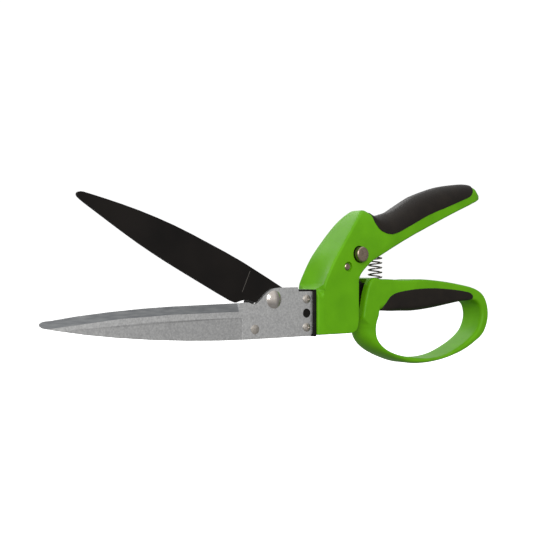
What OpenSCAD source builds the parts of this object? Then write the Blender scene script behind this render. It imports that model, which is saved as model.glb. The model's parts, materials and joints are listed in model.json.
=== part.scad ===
// Single-hand grass shears with a swivelling head.
// +X runs to the handles, +Y away from the plate side, +Z up. The shears stand open, plate upright.

/* [Blades] */
// Distance from the housing's front face to the fixed blade's tip
blade_reach = 178.5; // [170:0.5:190]
// Thickness of the blades
blade_t = 2; // [1.6:0.1:2.2]
// Angle of the moving blade above the mid-stroke line, when open
blade_half_swing = 14.7; // [13:0.1:16]

/* [Handles] */
// Half of the housing's width
body_half_w = 13; // [12:0.5:15]
// Half of the upper handle's width
handle_half_w = 11.5; // [10:0.5:12]
// Half of the loop handle's width
loop_half_w = 9.7; // [9:0.1:10.5]
// Outer diameter of the return spring
spring_od = 9.8; // [8:0.2:10]
// Wire diameter of the return spring
spring_wire = 1; // [0.8:0.1:1.2]

/* [Swivel head] */
// Half of the head block's height
head_half_h = 14.4; // [13:0.2:15]
// Diameter of the swivel shaft
shaft_d = 15; // [13:0.5:16]

/* [Hidden] */
$fn = 48;

// Colours
green = [0.36, 0.62, 0.09];
soft_black = [0.2, 0.18, 0.17];
nylon = [0.09, 0.08, 0.08];
coated = [0.13, 0.12, 0.12];
zinc = [0.64, 0.64, 0.64];
steel = [0.72, 0.70, 0.68];
dark_steel = [0.3, 0.3, 0.3];

// Running clearance on a radius, and the gap between the head and the housing
run = 0.05;
head_gap = 0.2;

// The design is laid out from the swivel axis at the housing's front face, and then moved so that
// the origin is the middle of the shears' box.
handle_top_z = 88;
loop_rear_x = 163.5;
loop_bottom_z = -36.6;
lock_head_proud = 3.5;
lock_tail_y = body_half_w;
centre = [(loop_rear_x - blade_reach) / 2,
    (lock_tail_y - body_half_w - lock_head_proud) / 2,
    (handle_top_z + loop_bottom_z) / 2];

// Y levels of the head, from the near side
plate_y = -9.3;
blade_gap = 0.05;
moving_y = plate_y + blade_t + blade_gap;
rear_y = moving_y + blade_t + blade_gap;
rear_t = 1.6;
core_half_w = 11.2;
collar_t = 1.6;
core_y = 8;

// Points of the mechanism, as [x, z]
pivot = [-31.5, 8.7];
plate_rivet_at = [-45.5, -8.6];
screw_x = -6.5;
screw_z = 8.6;
handle_pivot = [24.6, 28.5];
lock_at = [34.3, 36.4];
spring_x = 59.8;
handle_swing = 17;
half_swing = handle_swing / 2;
blade_travel = 2 * pivot[1] * sin(blade_half_swing);
lever_arm = blade_travel / (2 * tan(half_swing));
draw_pin_at = [handle_pivot[0] - lever_arm * tan(half_swing), handle_pivot[1] - lever_arm];
drive_at = [pivot[0] - pivot[1] * sin(blade_half_swing), pivot[1] - pivot[1] * cos(blade_half_swing)];

// Pins and bars
handle_pin_r = 2.3;
lock_head_r = 4.75;
lock_thick_r = 3;
lock_neck_r = 1.75;
lever_t = 3;
draw_pin_r = 2;
drive_pin_r = 2;
draw_r = 2.6;
drive_head_r = 2.7;
drive_head_t = 2.5;
drive_neck_r = 1.6;
yoke_half = 3.5;
head_x = drive_at[0] + 4.5;

// Spring
spring_turns = 9.5;
spring_low_z = 20.7;
spring_high_z = 44.2;

// ---- helpers ----

// A point on the smooth curve through a, b, c and d, between b and c
function spline(a, b, c, d, t) = 0.5 * (2 * b + (c - a) * t + (2 * a - 5 * b + 4 * c - d) * t * t
    + (3 * b - a - 3 * c + d) * t * t * t);
// A smooth closed curve through points, with n steps from each to the next
function closed_curve(p, n = 4) = [for (i = [0:len(p) - 1], k = [0:n - 1])
    spline(p[(i + len(p) - 1) % len(p)], p[i], p[(i + 1) % len(p)], p[(i + 2) % len(p)], k / n)];
// A smooth open curve through points, ends included
function open_curve(p, n = 4) = concat([for (i = [0:len(p) - 2], k = [0:n - 1])
    spline(p[max(i - 1, 0)], p[i], p[i + 1], p[min(i + 2, len(p) - 1)], k / n)], [p[len(p) - 1]]);
// A point turned by angle about a centre
function turned(p, c, angle) = [c[0] + (p[0] - c[0]) * cos(angle) - (p[1] - c[1]) * sin(angle),
    c[1] + (p[0] - c[0]) * sin(angle) + (p[1] - c[1]) * cos(angle)];

module in_place() {
    translate(-centre) children();
}

// A flat shape drawn in X and Z, made solid between two Y levels
module slab(y0, y1) {
    translate([0, y1, 0]) rotate([90, 0, 0]) linear_extrude(y1 - y0) children();
}

// A round bar along Y at [x, z]
module bar_y(r, y0, y1, at) {
    translate([at[0], y1, at[1]]) rotate([90, 0, 0]) cylinder(r = r, h = y1 - y0);
}

// A round bar along X on the swivel axis
module bar_x(r, x0, x1) {
    translate([x0, 0, 0]) rotate([0, 90, 0]) cylinder(r = r, h = x1 - x0);
}

// A straight slot with round ends
module slot_2d(from, to, r) {
    along = (to - from) / norm(to - from);
    side = [-along[1], along[0]] * r;
    translate(from) circle(r);
    translate(to) circle(r);
    polygon([from + side, from - side, to - side, to + side]);
}

// ---- outlines ----

nose_h = head_half_h;
fin_front = [[0, nose_h], [4, nose_h], [5, 16.5], [7.6, 22], [14.2, 33.2], [23.4, 45],
    [33.2, 56.4], [40.6, 63.4]];
fin_top = [[40.6, 63.4], [44.8, 65.4], [50, 63.5], [55, 62.2]];
handle_top = [[55, 62.2], [59.5, 62.4], [65, 63.9], [73, 66.6], [88, 74.5], [97, 78.4],
    [117, 84.5], [134.5, 87.4], [143, handle_top_z], [148.2, 86.6]];
handle_end = [[148.2, 86.6], [152.6, 82.6], [157.2, 78.5], [155.2, 77.3]];
handle_under = [[155.2, 77.3], [148.5, 74.9], [130.3, 68.4], [109.1, 60], [88.8, 51.4],
    [67.2, 42], [55, 36.5]];
arch = [[55, 36.5], [45.4, 31.9], [41.2, 28.6], [36, 23.8], [34.3, 19.5]];
heel = [[34.3, 19.5], [34.3, -6.5], [33, -10.8], [30.5, -12.8], [27, -13.4], [0, -13.6]];

function without_last(p) = [for (i = [0:len(p) - 2]) p[i]];
body_outline = concat(without_last(open_curve(fin_front, 3)), without_last(open_curve(fin_top, 3)),
    without_last(open_curve(handle_top, 3)), without_last(open_curve(handle_end, 3)),
    without_last(open_curve(handle_under, 2)), without_last(open_curve(arch, 3)), heel);

// The soft grip covers the top of the handle, down to this line on each side
grip_low = [[50.5, 67], [49.5, 62], [50.6, 57], [54.5, 52.4], [61.5, 50.1], [69.2, 51.2],
    [83.8, 57.3], [99.6, 64.2], [118.6, 70.6], [133, 75.6], [139.5, 77.9], [143.2, 80.3],
    [145.2, 83.6], [146.6, 89]];

loop_outer = [[47.2, 19.4], [58.9, 20.6], [79.3, 19.9], [94, 20.4], [112, 19.3], [130, 17.2],
    [148.3, 13.9], [158.6, 8.6], [163.1, -0.6], [162.5, -10.9], [155.6, -20.9], [139.6, -29.3],
    [118.4, -34.6], [98, loop_bottom_z], [81.2, -35.4], [64.8, -30.8], [52.9, -25.4], [45.5, -19],
    [42.4, -12], [40.6, -4]];
loop_hole = [[57.9, 0.9], [54.8, -4.2], [52.9, -10.4], [53.6, -17.6], [58.5, -23.3], [66.5, -27.5],
    [76.4, -30.4], [88, -32.2], [100, -33.3], [110.3, -33], [120.4, -31.3], [130.7, -27.9],
    [141.3, -23.2], [151, -16.8], [155.6, -9.7], [156.3, -3.5], [153.6, 2.4], [146, 5.6],
    [133.6, 5], [116.9, 2.7], [102.2, 0.8], [88.6, -0.3], [74.9, -0.2]];
grip_top = [[57.9, 0.9], [60.8, 5.6], [65.1, 9.6], [72, 12], [88.6, 13.9], [107.1, 14.3],
    [126.4, 13.2], [141.7, 11.2], [146.5, 8.6], [146, 5.6]];
grip_bottom = [[146, 5.6], [133.6, 5], [116.9, 2.7], [102.2, 0.8], [88.6, -0.3], [74.9, -0.2],
    [57.9, 0.9]];

// Lever: round the draw bar's pin, the handle pin and the lock bays, with a tang in the loop handle
lever_outline = [[17.2, 13.4], [18.6, 9.6], [22.4, 8.2], [26.2, 9.6], [27.6, 13.5], [29, 17],
    [34, 12], [42, 3.8], [52, 6], [62, 11], [64, 14.5], [60, 17], [47, 18.3], [43.4, 24], [42.4, 33],
    [39.5, 40.3], [34, 42.2], [28.6, 39.8], [22.5, 35.6], [18, 31], [17.6, 22]];

// Fixed blade: the plate, the waist behind the moving blade and the blade itself
plate_edge = [[-54.4, 7], [-50.2, 7.2], [-46.8, 6.1], [-44, 6.6], [-40.2, 9.8], [-37, 12.6],
    [-33.2, 14.8], [-28, 15.6], [-22, 15.8]];
blade_edge = [[-80, 6.5], [-101, 6], [-120, 5.2], [-140, 3.8], [-158, 2.1], [-167, 0.9], [-172.7, 0.2],
    [-175.6, 0], [-177.4, -0.4], [-blade_reach, -1.5], [-178.1, -2.6], [-176.6, -3.6], [-173, -4.4],
    [-167.5, -5.4], [-152.9, -7.8], [-135, -10], [-115, -11.9], [-90, -13.5], [-70, -14.2], [-50, -14.4]];
fixed_outline = concat([[-collar_t - head_gap, -12.4], [-collar_t - head_gap, 13.3], [-12.6, 13.3],
    [-13.2, 15.9]], open_curve([for (i = [len(plate_edge) - 1:-1:0]) plate_edge[i]], 2),
    blade_edge, [[-3.5, -14.1]]);
// Top face of the fixed blade's hollow-ground edge
bevel_line = [[-180, -4.6], [-170, -3.6], [-153, -2], [-133, 0], [-115, 0.9], [-101, 1.4], [-57, 1.9]];

// Moving blade, lying along -X from its pivot
moving_tip = 138;
moving_back = [[6, 9.6], [-28.4, 11.2], [-54.9, 10.9], [-79.2, 9.9], [-102.1, 7.4], [-122, 4],
    [-135.2, 1.3]];
moving_end = [[-136.6, 0.8], [-137.7, 0], [-moving_tip, -0.9], [-137.7, -1.8], [-136.6, -2.5], [-134.7, -3]];
moving_edge = [[-131.4, -3.6], [-113, -6.3], [-94.7, -8.7], [-75, -10.4], [-55, -11.4], [-37.8, -12.2],
    [-27, -12.6]];
moving_outline = concat(open_curve(moving_back, 2), moving_end, open_curve(moving_edge, 2));
moving_heel = [[-23, -12.2], [-19.5, -9.2], [-14.5, -6.8], [-9, -6.2], [-4.6, -7.6], [-2.4, -11.2], [1.2, -13],
    [4.6, -12], [6.4, -8.8], [8.4, -3], [9.6, 3], [8.8, 7.4]];

// ---- housing and upper handle ----

// Shape seen from above: blunt nose, parallel housing, handle drawn in at its end
module width_limit() {
    side = concat(open_curve([[-1, core_half_w + 0.9], [1.5, 12.7], [4, body_half_w]], 2),
        open_curve([[44, body_half_w], [60, 12.3], [76, handle_half_w], [140, handle_half_w], [149, 10.4],
        [154.5, 7.8], [158, 4.5]], 2));
    outline = concat(side, [for (i = [len(side) - 1:-1:0]) [side[i][0], -side[i][1]]]);
    translate([0, 0, -60]) linear_extrude(180) polygon(outline);
}

module lever_space() {
    slab(-5.5, 5.5) polygon([[15.5, -8.5], [45, -8.5], [45, 24], [58, 33], [50, 46], [36, 48], [24, 42],
        [17.5, 34], [15.5, 26]]);
}

module spring_pocket() {
    translate([spring_x, 0, 25]) cylinder(r = spring_od / 2 + 0.6, h = spring_high_z + 2 - 25);
}

module grip_band() {
    polygon(concat(open_curve(grip_low, 3), [[140, 110], [60, 110]]));
}

module grip_core() {
    slab(-7.5, 7.5) polygon([[50, 40], [62, 57.5], [73, 59], [90, 67], [115, 77], [138, 82.5], [146, 82.5],
        [152, 60], [100, 40]]);
}

module handle_body() {
    color(green) in_place() difference() {
        intersection() {
            slab(-body_half_w, body_half_w) polygon(body_outline);
            width_limit();
        }
        difference() {
            slab(-20, 20) grip_band();
            grip_core();
        }
        lever_space();
        spring_pocket();
        bar_x(shaft_d / 2 + run, -1, 12);
        bar_x(shaft_d / 2 + 1.4, 12, 16);
        bar_y(handle_pin_r, -20, 20, handle_pivot);
        bar_y(3.15, -20, -body_half_w + 1.4, handle_pivot);
        bar_y(3.9, body_half_w - 1.6, 20, handle_pivot);
        bar_y(5.45, -20, -4, lock_at);
        bar_y(lock_thick_r + run, -20, 20, lock_at);
        bar_y(4.4, body_half_w - 3.5, 20, lock_at);
    }
}

module upper_grip() {
    color(soft_black) in_place() difference() {
        intersection() {
            slab(-body_half_w, body_half_w) polygon(body_outline);
            width_limit();
            slab(-20, 20) grip_band();
        }
        grip_core();
    }
}

module handle_pin() {
    color(steel) in_place() {
        bar_y(handle_pin_r, -body_half_w + 0.5, body_half_w - 0.4, handle_pivot);
    }
}

module handle_pin_clip() {
    color(dark_steel) in_place() difference() {
        bar_y(3.8, body_half_w - 1.6, body_half_w - 0.8, handle_pivot);
        bar_y(handle_pin_r, -20, 20, handle_pivot);
    }
}

module spring_seat() {
    color(nylon) in_place() {
        translate([spring_x, 0, spring_high_z]) cylinder(r = spring_od / 2 + 0.6, h = 2);
        translate([spring_x, 0, spring_high_z - 4]) cylinder(r = spring_od / 2 - spring_wire - 0.5, h = 4);
    }
}

// ---- loop handle ----

module lever_2d() {
    difference() {
        polygon(closed_curve(lever_outline, 3));
        slot_2d(draw_pin_at - lever_dir() * 0.6, draw_pin_at + lever_dir() * 0.6, draw_pin_r + 0.08);
        lock_slot_2d(turned(lock_at, handle_pivot, -handle_swing));
        translate([54, 12]) circle(1.8);
    }
}

// Direction of the lever's slot, from the handle pin to the draw bar pin
function lever_dir() = (draw_pin_at - handle_pivot) / norm(draw_pin_at - handle_pivot);

// Two round bays for the locked pin, joined by a throat that only the pin's neck can pass
module lock_slot_2d(second_bay) {
    radius = norm(lock_at - handle_pivot);
    start = atan2(lock_at[1] - handle_pivot[1], lock_at[0] - handle_pivot[0]);
    throat = 2.2;
    translate(lock_at) circle(lock_thick_r + 0.15);
    translate(second_bay) circle(lock_thick_r + 0.15);
    inner = [for (i = [0:6]) let (a = start - handle_swing * i / 6)
        handle_pivot + (radius - throat) * [cos(a), sin(a)]];
    outer = [for (i = [6:-1:0]) let (a = start - handle_swing * i / 6)
        handle_pivot + (radius + throat) * [cos(a), sin(a)]];
    polygon(concat(inner, outer));
}

module lever_plate() {
    color(dark_steel) in_place() difference() {
        slab(-lever_t / 2, lever_t / 2) lever_2d();
        bar_y(handle_pin_r + run, -5, 5, handle_pivot);
    }
}

module loop_outline_2d() {
    difference() {
        polygon(closed_curve(loop_outer, 3));
        polygon(closed_curve(loop_hole, 3));
    }
}

module lower_grip_2d() {
    polygon(concat(without_last(open_curve(grip_top, 3)), without_last(open_curve(grip_bottom, 3))));
}

module loop_handle() {
    color(green) in_place() difference() {
        slab(-loop_half_w, loop_half_w) loop_outline_2d();
        slab(-loop_half_w - 1, loop_half_w + 1) lower_grip_2d();
        slab(-lever_t / 2, lever_t / 2) lever_2d();
        translate([spring_x, 0, spring_low_z - 3]) cylinder(r = spring_od / 2 + 0.4, h = 10);
        // The outer corners below the housing are rounded to a narrow rim
        for (side = [-1, 1])
            translate([0, side * loop_half_w, 0]) mirror([0, side < 0 ? 1 : 0, 0])
                rotate([90, 0, 0]) translate([0, 0, -1]) linear_extrude(5.5)
                    polygon([[38, -6], [43, -8], [47, -13], [49.5, -20], [56, -26.5], [66, -31], [70, -40],
                        [30, -40], [30, -6]]);
    }
}

module lower_grip() {
    color(soft_black) in_place() slab(-loop_half_w, loop_half_w) lower_grip_2d();
}

// A wire swept round a helix, six-sided, with its end turns laid flat
module return_spring() {
    steps = 14;
    n = round(spring_turns * steps);
    r = (spring_od - spring_wire) / 2;
    h = spring_high_z - spring_low_z - spring_wire + 3;
    low = spring_low_z - 3 + spring_wire / 2;
    // Height along the turns, with one closed turn at each end
    function climb(t) = t < 1 ? spring_wire * t : t > spring_turns - 1
        ? h - spring_wire * (spring_turns - t)
        : spring_wire + (h - 2 * spring_wire) * (t - 1) / (spring_turns - 2);
    points = [for (i = [0:n], k = [0:5]) let (a = 360 * i / steps, b = 60 * k)
        [spring_x + (r + spring_wire / 2 * cos(b)) * cos(a), (r + spring_wire / 2 * cos(b)) * sin(a),
        low + climb(i / steps) + spring_wire / 2 * sin(b)]];
    sides = [for (i = [0:n - 1], k = [0:5])
        [i * 6 + k, (i + 1) * 6 + k, (i + 1) * 6 + (k + 1) % 6, i * 6 + (k + 1) % 6]];
    color(dark_steel) in_place()
        polyhedron(points, concat([[0, 1, 2, 3, 4, 5]], sides, [[for (k = [5:-1:0]) n * 6 + k]]));
}

// ---- draw bar and lock ----

module draw_bar() {
    shoulder_x = head_x + drive_head_t + 3.2;
    color(steel) in_place() difference() {
        union() {
            bar_x(drive_head_r, head_x, head_x + drive_head_t);
            bar_x(drive_neck_r, head_x, shoulder_x + 0.5);
            bar_x(draw_r, shoulder_x, 17.5);
            for (side = [-1, 1])
                translate([0, side * 2.75, 0]) slab(-0.95, 0.95) fork_cheek();
            slab(-3.7, 3.7) polygon([[14, -draw_r], [17, -draw_r], [17, draw_r + 1.2], [14, draw_r]]);
        }
        bar_y(draw_pin_r, -5, 5, draw_pin_at);
    }
}

// One cheek of the draw bar's fork
module fork_cheek() {
    polygon([[14, -draw_r], [18, -draw_r], [27, 9], [draw_pin_at[0] + 4.4, draw_pin_at[1] + 1],
        [draw_pin_at[0] + 2.6, draw_pin_at[1] + 4], [draw_pin_at[0] - 2.6, draw_pin_at[1] + 4],
        [draw_pin_at[0] - 4.2, draw_pin_at[1] + 1], [15.9, 6], [14, draw_r]]);
}

module draw_bar_pin() {
    color(steel) in_place() bar_y(draw_pin_r, -3.9, 3.9, draw_pin_at);
}

module lock_pin() {
    color(steel) in_place() {
        bar_y(lock_head_r, -body_half_w - lock_head_proud, -8.2, lock_at);
        bar_y(lock_thick_r, -8.2, -2.2, lock_at);
        bar_y(lock_neck_r, -2.2, 2.2, lock_at);
        bar_y(lock_thick_r, 2.2, 10.2, lock_at);
        bar_y(lock_neck_r, 10.2, 11, lock_at);
        bar_y(lock_thick_r - 0.4, 11, lock_tail_y - 0.5, lock_at);
    }
}

module lock_pin_clip() {
    color(dark_steel) in_place() difference() {
        bar_y(3.9, 10.2, 11, lock_at);
        bar_y(lock_neck_r, 10, 12, lock_at);
    }
}

// ---- swivel head ----

module swivel_core() {
    back = -head_gap;
    collar = -head_gap - collar_t;
    block_y = rear_y + rear_t;
    color(nylon) in_place() difference() {
        union() {
            translate([collar, -core_half_w, -head_half_h])
                cube([collar_t, 2 * core_half_w, 2 * head_half_h]);
            // Block that the plates are screwed to, with a ledge over the plate
            translate([-13, plate_y + blade_t, -13]) cube([13 + collar, core_y - plate_y - blade_t, 26]);
            translate([-12.5, plate_y, 13.3]) cube([12.5 + collar, core_y - plate_y, head_half_h - 13.3]);
            // Guide for the yoke, behind the rear plate
            slab(block_y, core_y) polygon([[-13, -13], [-13, 13.8], [-26, 14.6], [-35, 14.6],
                [-41, 8.5], [-42, 5], [-42, -8], [-38, -11.5], [-30, -13]]);
            bar_x(shaft_d / 2, back - 0.1, 13);
            bar_y(2.75, plate_y - 0.3, plate_y + blade_t + 1, [screw_x, 0]);
        }
        // Channel for the yoke, open towards the rear plate, and the bore for the draw bar
        translate([drive_at[0] - 5, block_y - 1, -yoke_half - run])
            cube([20, yoke_half + run - block_y + 1, 2 * yoke_half + 2 * run]);
        bar_x(draw_r + run, drive_at[0], 20);
        bar_y(5.1, block_y - 1, core_y + 1, pivot);
        difference() {
            bar_x(shaft_d / 2 + 1, 12.1, 12.9);
            bar_x(shaft_d / 2 - 1, 12, 13);
        }
        difference() {
            bar_x(shaft_d / 2 + 1, 4, 6);
            bar_x(shaft_d / 2 - 1.6, 3, 7);
        }
        for (z = [-screw_z, screw_z])
            bar_y(1.4, plate_y - 1, 4, [screw_x, z]);
    }
}

module core_ring() {
    color(dark_steel) in_place() difference() {
        bar_x(shaft_d / 2 + 1.1, 12.1, 12.9);
        bar_x(shaft_d / 2 - 1, 12, 13);
    }
}

module swivel_oring() {
    ring_r = 0.75;
    color(nylon) in_place() translate([5, 0, 0]) rotate([0, 90, 0])
        rotate_extrude() translate([shaft_d / 2 - 0.8, 0]) circle(ring_r);
}

module fixed_blade() {
    color(zinc) in_place() difference() {
        slab(plate_y, plate_y + blade_t) polygon(fixed_outline);
        // The ground bevel leans back from the bevel line to the cutting edge
        bevel_cut();
        bar_y(3.2, plate_y - 1, plate_y + blade_t + 1, pivot);
        bar_y(2, plate_y - 1, plate_y + blade_t + 1, plate_rivet_at);
        bar_y(2.75, plate_y - 1, plate_y + blade_t + 1, [screw_x, 0]);
        for (z = [-screw_z, screw_z])
            bar_y(1.4, plate_y - 1, plate_y + blade_t + 1, [screw_x, z]);
    }
}

// Wedge taken off the plate side above the bevel line, ending in a wall at the plate
module bevel_cut() {
    slope = 0.2;
    for (i = [0:len(bevel_line) - 2]) {
        a = bevel_line[i];
        b = bevel_line[i + 1];
        polyhedron([[a[0], plate_y - 0.01, a[1]], [b[0], plate_y - 0.01, b[1]], [a[0], plate_y - 2, a[1]],
            [b[0], plate_y - 2, b[1]], [a[0], plate_y + slope * 9, a[1] + 9],
            [b[0], plate_y + slope * 9, b[1] + 9],
            [a[0], plate_y - 2, a[1] + 9], [b[0], plate_y - 2, b[1] + 9]],
            [[2, 3, 1, 0], [1, 5, 4, 0], [5, 7, 6, 4], [6, 7, 3, 2], [4, 6, 2, 0], [3, 7, 5, 1]]);
    }
}

module rear_plate() {
    color(zinc) in_place() difference() {
        slab(rear_y, rear_y + rear_t) polygon([[-13.2, -12], [-13.2, 12], [-24, 15], [-33, 15],
            [-41, 8], [-50, -3], [-51.5, -9], [-48, -13]]);
        bar_y(3.2, rear_y - 1, rear_y + rear_t + 1, pivot);
        bar_y(2, rear_y - 1, rear_y + rear_t + 1, plate_rivet_at);
        slab(rear_y - 1, rear_y + rear_t + 1)
            slot_2d([drive_at[0] - 0.6, 0.2], [drive_at[0] + blade_travel + 0.6, 0.2], drive_pin_r + 0.5);
    }
}

module rivet_spacer() {
    color(steel) in_place() difference() {
        bar_y(2.9, plate_y + blade_t, rear_y, plate_rivet_at);
        bar_y(2, plate_y, rear_y + 1, plate_rivet_at);
    }
}

module plate_rivet() {
    color(steel) in_place() {
        bar_y(2, plate_y - 0.2, rear_y + rear_t + 0.2, plate_rivet_at);
        bar_y(2.8, plate_y - 0.6, plate_y, plate_rivet_at);
        bar_y(2.8, rear_y + rear_t, rear_y + rear_t + 0.6, plate_rivet_at);
    }
}

// Two pan-head screws with cross recesses
module plate_screws() {
    color(steel) in_place() for (z = [-screw_z, screw_z]) {
        difference() {
            union() {
                bar_y(1.4, plate_y - 0.1, 4, [screw_x, z]);
                bar_y(2.6, plate_y - 1.1, plate_y, [screw_x, z]);
            }
            for (turn = [0, 90])
                translate([screw_x, plate_y - 1.2, z]) rotate([0, turn, 0])
                    cube([2.6, 1.6, 0.7], center = true);
        }
    }
}

// Domed bolt head with a plain shank
module pivot_bolt() {
    head_r = 5.35;
    head_h = 2.2;
    dome_r = (head_r * head_r + head_h * head_h) / (2 * head_h);
    color(steel) in_place() {
        bar_y(3.2 - 0.05, plate_y - 0.2, rear_y + rear_t + 4, pivot);
        translate([pivot[0], plate_y, pivot[1]]) rotate([90, 0, 0])
            rotate_extrude($fn = 64) intersection() {
                translate([0, head_h - dome_r]) circle(dome_r);
                square([head_r, head_h]);
            }
    }
}

module wave_washer() {
    color(dark_steel) in_place() difference() {
        bar_y(4.7, rear_y + rear_t, rear_y + rear_t + 0.6, pivot);
        bar_y(3.2, rear_y, rear_y + rear_t + 2, pivot);
    }
}

module pivot_nut() {
    color(steel) in_place() difference() {
        translate([pivot[0], rear_y + rear_t + 3.6, pivot[1]]) rotate([90, 0, 0])
            cylinder(r = 4.8, h = 3, $fn = 6);
        bar_y(3.2, rear_y, rear_y + rear_t + 5, pivot);
    }
}

// Square slider that the draw bar's round head turns in
module drive_yoke() {
    front = drive_at[0] - 4.2;
    back = head_x + drive_head_t + 3;
    color(nylon) in_place() difference() {
        translate([front, -yoke_half, -yoke_half]) cube([back - front, 2 * yoke_half, 2 * yoke_half]);
        // Slot for the blade's peg
        translate([drive_at[0] - drive_pin_r - run, -yoke_half - 1, -2.8])
            cube([2 * drive_pin_r + 2 * run, yoke_half + 3.1, 5.6]);
        // Pocket and neck way, open on one side for the draw bar's head to drop in
        bar_x(drive_head_r + run, head_x - run, head_x + drive_head_t + run);
        bar_x(drive_neck_r + run, head_x, back + 1);
        translate([head_x - run, -drive_head_r - run, -yoke_half - 1])
            cube([drive_head_t + 2 * run, 2 * (drive_head_r + run), yoke_half + 1]);
        translate([head_x, -drive_neck_r - run, -yoke_half - 1])
            cube([back - head_x + 1, 2 * (drive_neck_r + run), yoke_half + 1]);
    }
}

// ---- moving blade ----

module in_blade_frame() {
    tip_angle = 24.7;
    translate([pivot[0], 0, pivot[1]]) rotate([0, tip_angle, 0]) children();
}

module cutting_blade() {
    color(coated) in_place() difference() {
        in_blade_frame() slab(moving_y, moving_y + blade_t)
            polygon(concat(moving_outline, open_curve(moving_heel, 2)));
        bar_y(3.2, moving_y - 1, moving_y + blade_t + 1, pivot);
        bar_y(drive_pin_r, moving_y - 1, moving_y + blade_t + 1, drive_at);
    }
}

module drive_pin() {
    color(steel) in_place() bar_y(drive_pin_r, moving_y, 2, drive_at);
}

handle_body();
upper_grip();
handle_pin();
handle_pin_clip();
spring_seat();
loop_handle();
lower_grip();
lever_plate();
return_spring();
draw_bar();
draw_bar_pin();
lock_pin();
lock_pin_clip();
swivel_core();
core_ring();
swivel_oring();
fixed_blade();
rear_plate();
rivet_spacer();
plate_rivet();
plate_screws();
pivot_bolt();
wave_washer();
pivot_nut();
drive_yoke();
cutting_blade();
drive_pin();
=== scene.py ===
"""Single-hand grass shears with a swivelling head, open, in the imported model's frame."""

import json
import math

import bmesh
import bpy
import numpy as np
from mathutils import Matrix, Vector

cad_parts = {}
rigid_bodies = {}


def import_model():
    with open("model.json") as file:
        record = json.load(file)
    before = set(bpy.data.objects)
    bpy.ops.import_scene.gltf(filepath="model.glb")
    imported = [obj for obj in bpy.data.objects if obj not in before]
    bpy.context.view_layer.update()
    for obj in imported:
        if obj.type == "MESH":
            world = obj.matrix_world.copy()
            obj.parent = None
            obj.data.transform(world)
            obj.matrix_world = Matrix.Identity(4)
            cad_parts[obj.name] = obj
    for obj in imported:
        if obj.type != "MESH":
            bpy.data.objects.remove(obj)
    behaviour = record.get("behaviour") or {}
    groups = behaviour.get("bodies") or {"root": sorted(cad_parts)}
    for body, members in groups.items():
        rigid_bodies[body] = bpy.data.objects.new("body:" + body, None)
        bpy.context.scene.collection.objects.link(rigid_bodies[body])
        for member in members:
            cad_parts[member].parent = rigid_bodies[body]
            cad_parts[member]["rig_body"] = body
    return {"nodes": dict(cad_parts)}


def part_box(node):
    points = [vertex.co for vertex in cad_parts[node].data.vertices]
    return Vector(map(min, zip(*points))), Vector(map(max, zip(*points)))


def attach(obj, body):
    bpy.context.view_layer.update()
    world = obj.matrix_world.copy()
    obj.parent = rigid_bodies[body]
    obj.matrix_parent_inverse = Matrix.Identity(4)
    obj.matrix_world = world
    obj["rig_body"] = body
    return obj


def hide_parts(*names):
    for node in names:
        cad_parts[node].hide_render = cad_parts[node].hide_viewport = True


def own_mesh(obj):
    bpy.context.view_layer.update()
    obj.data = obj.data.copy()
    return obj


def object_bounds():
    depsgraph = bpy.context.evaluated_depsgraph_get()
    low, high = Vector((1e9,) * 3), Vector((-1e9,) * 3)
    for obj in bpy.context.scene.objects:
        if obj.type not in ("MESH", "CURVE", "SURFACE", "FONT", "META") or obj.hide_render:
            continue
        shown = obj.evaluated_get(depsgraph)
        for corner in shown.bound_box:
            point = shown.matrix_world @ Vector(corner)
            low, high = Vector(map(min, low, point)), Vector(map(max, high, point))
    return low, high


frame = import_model()
cad_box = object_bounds()

# ---- the design's own coordinates ----
# Millimetres: X from the housing's front face towards the handles, Y from the middle plane away
# from the plate side, Z up from the swivel axis.

MM = 0.001
ring_low, ring_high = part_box("core_ring")
ORIGIN = np.array([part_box("handle_body")[0].x, (ring_low.y + ring_high.y) / 2,
                   (ring_low.z + ring_high.z) / 2])
# The rear and the bottom of the CAD's box, where the loop's smoother outline is clipped
REAR_X = (cad_box[1].x - ORIGIN[0]) / MM
BOTTOM_Z = (cad_box[0].z - ORIGIN[2]) / MM

PLATE_Y = -9.3
BLADE_T = 2.0
MOVING_Y = PLATE_Y + BLADE_T + 0.05
REAR_Y = MOVING_Y + BLADE_T + 0.05
PIVOT = (-31.5, 8.7)
RIVET = (-45.5, -8.6)
SCREW_X = -6.5
SCREW_Z = 8.6
HANDLE_PIN = (24.6, 28.5)
LOCK_PIN = (34.3, 36.4)
SPRING_X = 59.8
SPRING_LOW, SPRING_HIGH = 17.7, 44.2
# The seat in the loop handle tilts and moves back under the spring, so its pocket is wider.
SPRING_ROOM = 6.9
HOUSING_HALF_W = 13
LOOP_HALF_W = 9.7
HEAD_TOP = 14.4
# How far a cutter reaches on both sides of the middle plane to pass through everything
THROUGH = 20


def smooth(stations, steps):
    """Catmull-Rom curve through rows of numbers: between two rows each column is a cubic of those
    two and their neighbours, with the end rows mirrored. steps is the number of rows to a gap."""
    p = np.asarray(stations, float)
    a = np.vstack([2 * p[0] - p[1], p, 2 * p[-1] - p[-2]])
    t = np.linspace(0, 1, steps, endpoint=False)[None, :, None]
    b0, b1, b2, b3 = a[:-3, None], a[1:-2, None], a[2:-1, None], a[3:, None]
    between = 0.5 * (2 * b1 + (b2 - b0) * t + (2 * b0 - 5 * b1 + 4 * b2 - b3) * t**2
                     + (3 * b1 - b0 - 3 * b2 + b3) * t**3)
    return np.vstack([between.reshape(-1, p.shape[1]), p[-1:]])


def smooth_closed(points, steps):
    """The same curve round a closed outline, whose first point isn't repeated."""
    p = np.asarray(points, float)
    return smooth(np.vstack([p[-2:], p, p[:2]]), steps)[2 * steps:(len(p) + 2) * steps]


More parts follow.
